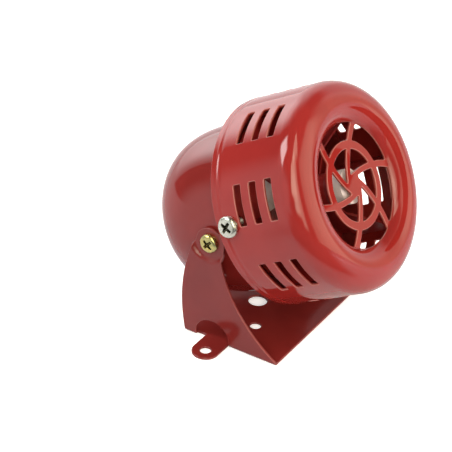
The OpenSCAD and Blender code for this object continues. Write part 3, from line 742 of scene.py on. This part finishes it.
def spline(points, count):
    """Catmull-Rom curve through the points, with count steps to a span."""
    q = np.array(points, float)
    line = []
    for i in range(len(q) - 1):
        a, b, c, d = q[max(i - 1, 0)], q[i], q[i + 1], q[min(i + 2, len(q) - 1)]
        for k in range(count):
            f = k / count
            line.append(b + f * (c - a) / 2 + f * f * (a - 2.5 * b + 2 * c - d / 2)
                        + f ** 3 * (1.5 * (b - c) + (d - a) / 2))
    line.append(q[-1])
    return np.array(line)


def tube(shell, line, radii):
    """Closed tube along a line, with a radius for each point."""
    sides = 24
    ahead = np.gradient(line, axis=0)
    ahead /= np.linalg.norm(ahead, axis=1, keepdims=True)
    u = np.cross(ahead, (0.2, 1, 0.1))
    u /= np.linalg.norm(u, axis=1, keepdims=True)
    v = np.cross(ahead, u)
    angles = np.arange(sides) * TURN / sides
    c, s = np.cos(angles)[None, :, None], np.sin(angles)[None, :, None]
    out = u[:, None] * c + v[:, None] * s
    shell.grid(line[:, None] + np.array(radii)[:, None, None] * out)
    for end in (0, -1):
        ring = line[end] + radii[end] * out[end]
        fan = [(i, (i + 1) % sides, sides) for i in range(sides)]
        shell.add(np.vstack([ring, line[end][None]]), None, fan)


def lead_paths():
    """Centre lines of the two leads, from the terminals through the grommet to their cut ends."""
    z = DOME_Z - DOME_DEPTH
    paths = []
    for side in (-1, 1):
        x, y = GROMMET[0] + side * WIRE_GAP, GROMMET[1]
        paths.append(spline([
            (side * 11, -1.6, -80.4), (side * 9.9, -5, -82.5), (x, y + 0.6, z + 7), (x, y, z + 3),
            (x, y, z - 2.4), (x + 2.2, y + side * 0.9, z - 5), (x + 9, y + side * 1.5 - 1.5, z - 5.4),
            (x + 16, y + side * 1.8 - 4, z - 4.4), (x + 21, y + side * 2.6 - 7, z - 2.6)], 8))
    return paths


def leads(rubber, copper):
    sleeve, tips = Shell(), Shell()
    bare = 5  # steps of the line that have no sleeve
    for line in lead_paths():
        covered = line[:-bare]
        radii = [WIRE_R] * (len(covered) - 1) + [WIRE_R * 0.9]
        tube(sleeve, covered, radii)
        core = line[-bare - 2:]
        tube(tips, core, [WIRE_R * 0.62] * (len(core) - 1) + [WIRE_R * 0.45])
    make("lead_sleeves", sleeve, HEAD, "siren", rubber, ["lead_wires"])
    make("lead_tips", tips, HEAD, "siren", copper)


# ---- Materials ----


class Graph:
    """Short way to add nodes and their links to a node tree."""

    def __init__(self, tree):
        self.tree = tree
        tree.nodes.clear()

    def node(self, kind, inputs=None, **settings):
        made = self.tree.nodes.new(kind)
        for key, value in settings.items():
            setattr(made, key, value)
        for key, value in (inputs or {}).items():
            if isinstance(value, bpy.types.NodeSocket):
                self.tree.links.new(value, made.inputs[key])
            else:
                made.inputs[key].default_value = value
        return made

    def maths(self, operation, a, b=0.0, c=0.0):
        return self.node("ShaderNodeMath", {0: a, 1: b, 2: c}, operation=operation).outputs[0]

    def span(self, value, low, high, to_low=0.0, to_high=1.0):
        """Smooth step of a value from low to high."""
        inputs = {"Value": value, "From Min": low, "From Max": high, "To Min": to_low, "To Max": to_high}
        return self.node("ShaderNodeMapRange", inputs, interpolation_type="SMOOTHSTEP").outputs[0]


def blank(name):
    """A new material and its empty graph."""
    material = bpy.data.materials.new(name)
    material.use_nodes = True
    return material, Graph(material.node_tree)


def finish(name, colour, second, roughness, metallic=0.0, patch=60, grain=900, bump=0.05,
           coat=0.0, coat_roughness=0.05, stretch=(1, 1, 1), specular=0.5, painted_light_and_wear_tone=None,
           shaded_top_coat_share=1.0, painted=None):
    """Procedural finish: two tones in soft patches, uneven roughness and a fine relief. Marked
    points take a third tone: along the cut edges of the paints it is thinner paint together with a
    painted highlight, and in the cross recesses of the plated screws it is painted shade. A face
    that looks straight up keeps only the given share of its coat, a painted shade that dims its
    reflection. Painted is a stretch of the head's axis, as its lowest and highest z, and the
    colour that it is painted."""
    material, g = blank(name)
    where = g.node("ShaderNodeTexCoord").outputs["Object"]
    drawn = g.node("ShaderNodeMapping", {"Vector": where, "Scale": stretch}).outputs[0]
    soft = g.node("ShaderNodeTexNoise", {"Vector": where, "Scale": patch, "Detail": 3.0}).outputs["Fac"]
    fine = g.node("ShaderNodeTexNoise", {"Vector": drawn, "Scale": grain, "Detail": 4.0}).outputs["Fac"]
    share = g.span(soft, 0.35, 0.65)
    tone = g.node("ShaderNodeMix", {0: share, 6: (*colour, 1), 7: (*second, 1)}, data_type="RGBA").outputs[2]
    # Marked points take the third tone: thinner paint with a painted highlight on cut edges, painted shade in
    # screw recesses.
    if painted_light_and_wear_tone:
        edge = g.node("ShaderNodeAttribute", attribute_name="wear").outputs["Fac"]
        painted_light_and_wear_share = g.maths("MULTIPLY", edge, g.span(soft, 0.2, 0.7, 0.65, 1.0))
        tone = g.node("ShaderNodeMix", {0: painted_light_and_wear_share, 6: tone, 7: (*painted_light_and_wear_tone, 1)}, data_type="RGBA").outputs[2]
    if painted:
        low, high, paint = painted
        dot = g.node("ShaderNodeVectorMath", {0: where, 1: AXIS}, operation="DOT_PRODUCT").outputs["Value"]
        z = g.maths("MULTIPLY_ADD", dot, 1 / MM, -(PIVOT.dot(AXIS) / MM + PIVOT_BACK))
        band = g.maths("MULTIPLY", g.span(z, low - 0.1, low), g.span(z, high + 0.1, high))
        tone = g.node("ShaderNodeMix", {0: band, 6: tone, 7: (*paint, 1)}, data_type="RGBA").outputs[2]
    rough = g.span(fine, 0.3, 0.7, roughness * 0.85, roughness * 1.2)
    relief = g.node("ShaderNodeBump", {"Strength": bump, "Distance": 0.0002, "Height": fine}).outputs[0]
    # Faces that look straight up lose part of the coat: painted shade that dims their reflection.
    if shaded_top_coat_share < 1:
        normal = g.node("ShaderNodeNewGeometry").outputs["True Normal"]
        rise = g.node("ShaderNodeSeparateXYZ", {0: normal}).outputs[2]
        coat = g.span(rise, 0.9, 0.99, coat, coat * shaded_top_coat_share)
    shader = g.node("ShaderNodeBsdfPrincipled", {
        "Base Color": tone, "Roughness": rough, "Metallic": metallic, "Normal": relief,
        "Specular IOR Level": specular, "Coat Weight": coat, "Coat Roughness": coat_roughness,
        "Coat Normal": relief})
    g.node("ShaderNodeOutputMaterial", {"Surface": shader.outputs[0]})
    return material


def materials():
    return {
        # The third colour of each red paint is thinner paint with a painted highlight along cut edges.
        "housing_paint": finish("glossy_red_enamel", (0.285, 0.0195, 0.0165), (0.262, 0.0175, 0.015), 0.5,
                                grain=700, bump=0.035, coat=1.0, coat_roughness=0.03, specular=0.0,
                                painted_light_and_wear_tone=(0.44, 0.135, 0.115)),
        # The dome wears the housing enamel made darker: painted shade on the dome.
        "shaded_housing_paint": finish("housing_enamel_painted_shade", (0.205, 0.0165, 0.014), (0.185, 0.0145, 0.012), 0.5,
                             grain=700, bump=0.035, coat=1.0, coat_roughness=0.03, specular=0.0,
                             painted_light_and_wear_tone=(0.33, 0.10, 0.085)),
        # On the bracket, faces that look up keep less coat, as painted shade on the base top.
        "bracket_paint": finish("satin_red_enamel", (0.175, 0.0175, 0.0155), (0.155, 0.015, 0.0135), 0.5,
                                grain=600, bump=0.09, coat=0.9, coat_roughness=0.14, specular=0.0,
                                painted_light_and_wear_tone=(0.24, 0.05, 0.045), shaded_top_coat_share=0.3),
        "plate_paint": finish("dark_red_primer", (0.22, 0.017, 0.014), (0.18, 0.014, 0.011), 0.45),
        "impeller_paint": finish("impeller_red", (0.26, 0.012, 0.01), (0.22, 0.01, 0.008), 0.45,
                                 coat=0.12, coat_roughness=0.15, specular=0.15),
        # The third colour of the plated screws is painted shade in their cross recesses.
        "zinc_plated_steel": finish("zinc_plate", (0.64, 0.66, 0.57), (0.54, 0.56, 0.47), 0.24, 1.0, 160,
                                    1100, 0.012, painted_light_and_wear_tone=(0.09, 0.09, 0.065)),
        "yellow_zinc_steel": finish("yellow_zinc_plate", (0.56, 0.47, 0.17), (0.42, 0.42, 0.19), 0.24, 1.0,
                                    300, 1100, 0.012, painted_light_and_wear_tone=(0.08, 0.06, 0.02)),
        "motor_steel": finish("motor_steel", (0.55, 0.56, 0.57), (0.48, 0.49, 0.50), 0.32, 1.0, 90, 1200,
                              0.05, stretch=(1, 1, 0.1)),
        "ferrite": finish("ferrite", (0.05, 0.05, 0.052), (0.035, 0.035, 0.037), 0.7, grain=1500, bump=0.2),
        "cap_plastic": finish("cap_plastic", (0.72, 0.70, 0.62), (0.66, 0.64, 0.57), 0.45, grain=1100),
        "sintered_bronze": finish("sintered_bronze", (0.55, 0.33, 0.16), (0.42, 0.25, 0.12), 0.42, 0.9, 400,
                                  2500, 0.25),
        "carbon": finish("carbon", (0.03, 0.03, 0.03), (0.05, 0.05, 0.05), 0.6, grain=2500, bump=0.2),
        "brass_strip": finish("brass_strip", (0.78, 0.57, 0.22), (0.68, 0.48, 0.18), 0.28, 1.0, 200, 900,
                              0.04),
        "spring_steel": finish("spring_steel", (0.5, 0.52, 0.55), (0.4, 0.42, 0.46), 0.25, 1.0, 200, 1500),
        "grommet_rubber": finish("grommet_rubber", (0.02, 0.02, 0.021), (0.03, 0.03, 0.03), 0.6, grain=1800,
                                 bump=0.15),
        "lead_insulation": finish("lead_insulation", (0.03, 0.03, 0.032), (0.045, 0.045, 0.047), 0.42,
                                  grain=1300),
        "ground_steel": finish("ground_steel", (0.68, 0.69, 0.70), (0.60, 0.61, 0.62), 0.16, 1.0, 120, 1800,
                               0.03),
        "laminations": finish("laminations", (0.28, 0.28, 0.29), (0.2, 0.2, 0.22), 0.4, 0.9, 120, 1500,
                              0.12, stretch=(1, 1, 4)),
        "copper_wire": finish("copper_wire", (0.72, 0.33, 0.17), (0.58, 0.24, 0.11), 0.3, 1.0, 300, 1800,
                              0.12),
        "copper_bars": finish("copper_bars", (0.68, 0.31, 0.17), (0.55, 0.24, 0.13), 0.24, 1.0, 200, 1300),
        "hub_aluminium": finish("hub_aluminium", (0.70, 0.61, 0.60), (0.60, 0.52, 0.51), 0.55, 0.2, 150,
                                900, 0.06, painted=SLEEVE_PAINT),
    }


def dress_nodes(looks):
    """Gives each CAD node that is still shown its finish, and eases its sharp edges."""
    for part in frame["record"]["subparts"]:
        piece, slot = frame["nodes"][part["node"]], part["material_slot"]
        if piece.hide_render:
            continue
        piece.data.materials.clear()
        piece.data.materials.append(looks[slot])
        ease = piece.modifiers.new("eased_edges", "BEVEL")
        ease.width = 0.15 * MM
        ease.segments = 2
        ease.limit_method = "ANGLE"
        ease.angle_limit = math.radians(40)
        ease.harden_normals = True


# ---- Stage ----


def softbox(g, azimuth, elevation, az, el, power, blur):
    """Radiance of a soft-edged box of sky. Its limits and blur are in degrees."""
    box = g.maths("MULTIPLY", g.span(azimuth, az[0] - blur, az[0] + blur),
                  g.span(azimuth, az[1] + blur, az[1] - blur))
    band = g.maths("MULTIPLY", g.span(elevation, el[0] - blur, el[0] + blur),
                   g.span(elevation, el[1] + blur, el[1] - blur))
    return g.maths("MULTIPLY", g.maths("MULTIPLY", box, band), power)


def headings(g, way):
    """Azimuth from -Y towards +X and elevation of a direction, in degrees."""
    split = g.node("ShaderNodeSeparateXYZ", {0: way}).outputs
    azimuth = g.maths("DEGREES", g.maths("ARCTAN2", split[0], g.maths("MULTIPLY", split[1], -1.0)))
    return azimuth, g.maths("DEGREES", g.maths("ARCSINE", split[2]))


def studio():
    """White surroundings for the camera, and soft boxes for light and reflections. A box is its
    azimuths, its elevations, its power and its blur."""
    world = bpy.data.worlds.new("studio")
    bpy.context.scene.world = world
    world.use_nodes = True
    g = Graph(world.node_tree)
    azimuth, elevation = headings(g, g.node("ShaderNodeTexCoord").outputs["Generated"])
    warm = (
        ((-79, -70), (29, 60), 5.2, 4),
        ((-70, -51), (14, 68), 4.4, 5),
        ((-70, -51), (31, 52), 1.4, 5),
        ((-51, -39), (5, 62), 2.5, 4),
        ((-72, -20), (64, 95), 3.6, 6),
        ((-17, 47), (-12, 57), 1.3, 6),
        ((0, 70), (-5, 48), 0.75, 16),
    )
    neutral = (
        ((64, 116), (-12, 38), 0.7, 8),
        ((116, 176), (-25, 50), 1.8, 16),
        ((140, 170), (12, 44), 1.8, 9),
        ((-155, -92), (-15, 36), 0.85, 10),
        ((-160, -129), (34, 58), 9.5, 4),
    )
    seen = g.node("ShaderNodeLightPath").outputs["Is Camera Ray"]
    unseen = g.maths("SUBTRACT", 1.0, seen)
    parts = []
    for tint, boxes, base in (((1.12, 1.0, 0.76, 1), warm, 0.0), ((1, 1, 1, 1), neutral, 0.14)):
        total = base
        for az, el, power, blur in boxes:
            total = g.maths("ADD", softbox(g, azimuth, elevation, az, el, power, blur), total)
        strength = g.maths("MULTIPLY", total, unseen)
        parts.append(g.node("ShaderNodeBackground", {"Color": tint, "Strength": strength}).outputs[0])
    parts.append(g.node("ShaderNodeBackground", {"Color": (1, 1, 1, 1), "Strength": seen}).outputs[0])
    lit = g.node("ShaderNodeAddShader", {0: parts[0], 1: parts[1]}).outputs[0]
    lit = g.node("ShaderNodeAddShader", {0: lit, 1: parts[2]}).outputs[0]
    g.node("ShaderNodeOutputWorld", {"Surface": lit})


def fill_light():
    """Wide soft light low in front, which fills shadows but shows in no reflection."""
    data = bpy.data.lights.new("fill", "AREA")
    data.size = FILL_SIZE
    data.energy = FILL_WATTS
    lamp = placed("fill", data)
    place = Vector(FILL_AT)
    aim = (Vector(FILL_AIM) - place).to_track_quat("-Z", "Y")
    lamp.matrix_world = Matrix.Translation(place) @ aim.to_matrix().to_4x4()
    lamp.visible_glossy = False
    lamp.visible_camera = False


def black_card():
    """Small black card in front, seen only in reflections, which keeps the right of the rounded
    front edge deep red."""
    ahead = Vector((math.sin(CARD_HEADING) * math.cos(CARD_RISE),
                    -math.cos(CARD_HEADING) * math.cos(CARD_RISE), math.sin(CARD_RISE)))
    along = Vector((math.cos(CARD_HEADING), math.sin(CARD_HEADING), 0))
    above = along.cross(ahead) * -1
    centre = Vector(CARD_AT)
    corners = [centre + along * x + above * y for x, y in arc((0, 0), 1, 0, 345, 24) * CARD_HALF]
    mesh = bpy.data.meshes.new("black_card")
    mesh.from_pydata(corners, [], [tuple(range(len(corners)))])
    card = placed("black_card", mesh)
    material, g = blank("black_card")
    black = g.node("ShaderNodeEmission", {"Strength": 0.0}).outputs[0]
    g.node("ShaderNodeOutputMaterial", {"Surface": black})
    mesh.materials.append(material)
    card.visible_camera = False
    card.visible_diffuse = False
    card.visible_shadow = False


def floor():
    """Plain pale table top under the bracket. On the camera's side, all rays but the camera's
    find it darker."""
    mesh = bpy.data.meshes.new("floor")
    reach = 30.0
    corners = [(-reach, -reach, 0), (reach, -reach, 0), (reach, reach, 0), (-reach, reach, 0)]
    mesh.from_pydata(corners, [], [(0, 1, 2, 3)])
    top = placed("floor", mesh)
    material, g = blank("table_top")
    where = g.node("ShaderNodeNewGeometry").outputs["Position"]
    azimuth, _ = headings(g, g.node("ShaderNodeVectorMath", {0: where}, operation="NORMALIZE").outputs[0])
    away = g.node("ShaderNodeVectorMath", {0: where}, operation="LENGTH").outputs["Value"]
    side = g.maths("MULTIPLY", g.span(azimuth, -115, -90), g.span(azimuth, 15, -8))
    dark = g.maths("MULTIPLY", side, g.span(away, 0.12, 0.18))
    seen = g.node("ShaderNodeLightPath").outputs["Is Camera Ray"]
    unseen = g.maths("SUBTRACT", 1.0, seen)
    drop = g.maths("MULTIPLY_ADD", dark, 0.55, 0.2)
    grey = g.maths("MULTIPLY_ADD", drop, g.maths("MULTIPLY", unseen, -1.0), 0.9)
    cool = g.maths("MULTIPLY", grey, g.maths("MULTIPLY_ADD", unseen, 0.12, 1.0))
    colour = g.node("ShaderNodeCombineColor", {0: grey, 1: grey, 2: cool}).outputs[0]
    diffuse = g.node("ShaderNodeBsdfDiffuse", {"Color": colour}).outputs[0]
    glow = g.node("ShaderNodeEmission", {"Strength": g.maths("MULTIPLY", seen, 0.5)}).outputs[0]
    g.node("ShaderNodeOutputMaterial", {
        "Surface": g.node("ShaderNodeAddShader", {0: diffuse, 1: glow}).outputs[0]})
    mesh.materials.append(material)


def camera():
    """The camera stands to the left and in front, and looks down at the siren."""
    data = bpy.data.cameras.new("camera")
    data.sensor_width = SENSOR_MM
    data.lens = LENS_MM
    shot = placed("camera", data)
    turn = Matrix.Rotation(CAMERA_HEADING, 4, "Z") @ Matrix.Rotation(math.pi / 2 - CAMERA_DROP, 4, "X")
    place = Matrix.Translation(CAMERA_AT)
    shot.matrix_world = place @ turn @ Matrix.Rotation(CAMERA_ROLL, 4, "Z")
    bpy.context.scene.camera = shot


looks = materials()
front_housing(looks["housing_paint"])
motor_housing(looks["shaded_housing_paint"])
bracket(looks["bracket_paint"])
screws(looks["zinc_plated_steel"], looks["yellow_zinc_steel"])
leads(looks["lead_insulation"], looks["copper_wire"])
dress_nodes(looks)
studio()
fill_light()
black_card()
floor()
camera()
bpy.context.scene.view_settings.view_transform = "Standard"
